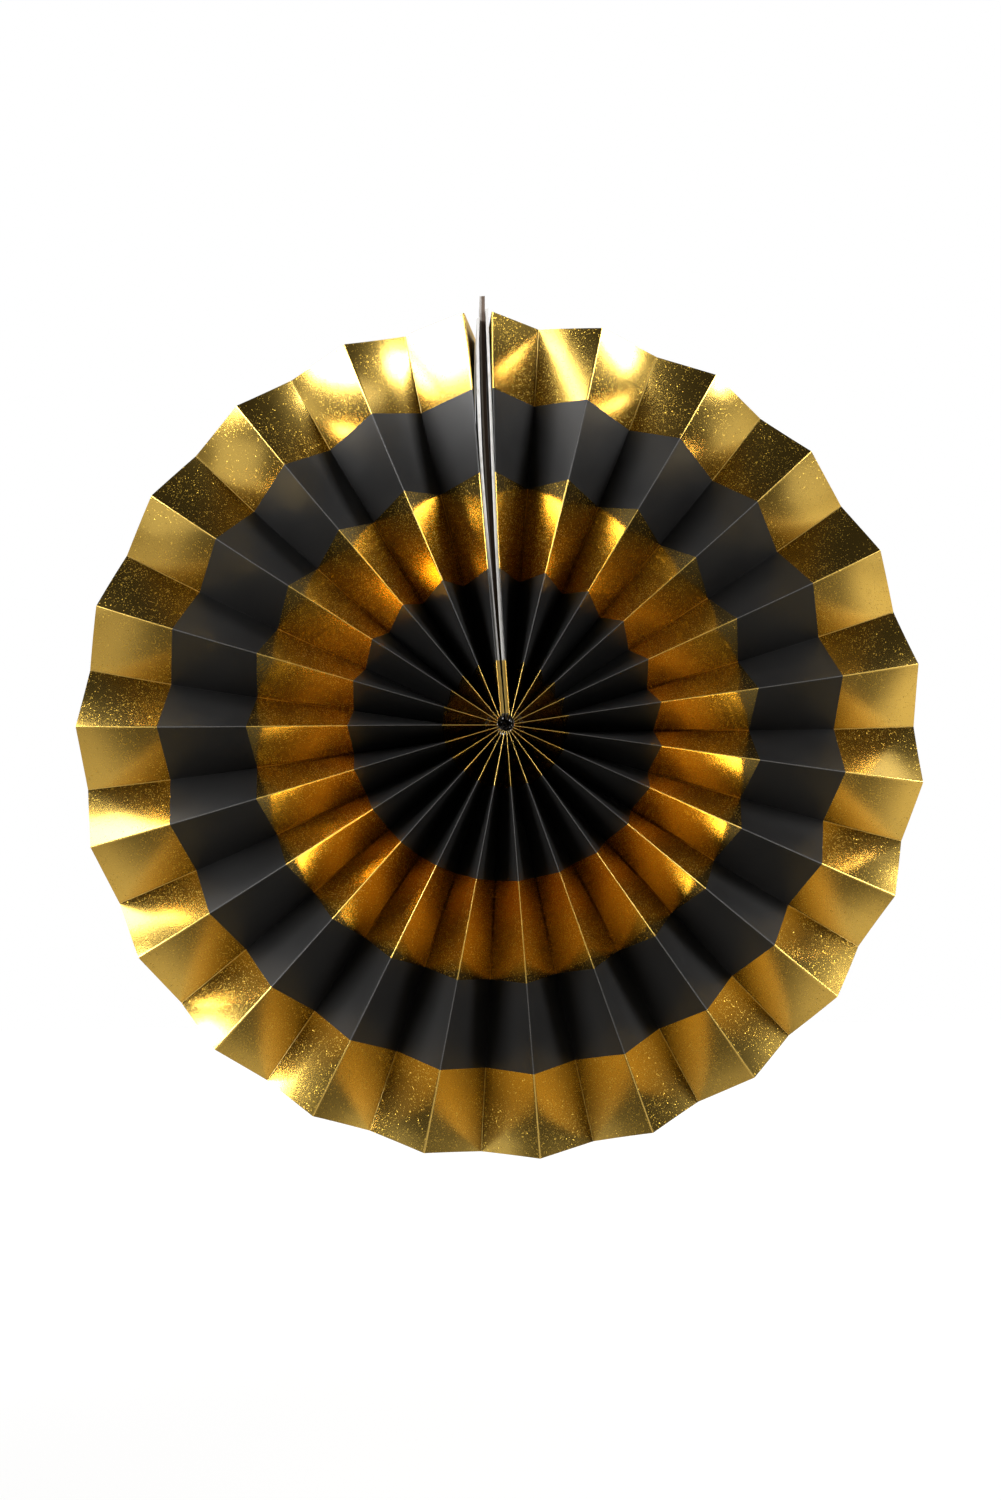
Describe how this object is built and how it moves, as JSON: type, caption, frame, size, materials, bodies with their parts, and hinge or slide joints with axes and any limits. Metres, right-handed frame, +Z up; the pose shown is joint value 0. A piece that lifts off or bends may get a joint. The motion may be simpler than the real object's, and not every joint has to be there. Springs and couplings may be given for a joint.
{
  "type": "paper fan rosette",
  "caption": "Accordion-pleated paper rosette in gold foil and black bands, gathered at the hub, with card boards at the seam and a strip with a hanging hole at the top.",
  "frame": {"origin": "centre of the hanging hole in the strip at the top of the seam", "axes": "+Z up along the top of the strip, the front faces -Y, +X to the viewer's right"},
  "size_m": [0.3, 0.0286, 0.3069],
  "materials": {
    "foil_paper": "gold foil and satin black print",
    "board_card": "white card",
    "strip_card": "matte brown",
    "thread": "matte"
  },
  "bodies": {
    "root": {"pleated_paper": "foil_paper", "right_end_board": "board_card", "left_end_board": "board_card", "hanging_strip": "strip_card", "binding_thread": "thread"}
  },
  "joints": []
}
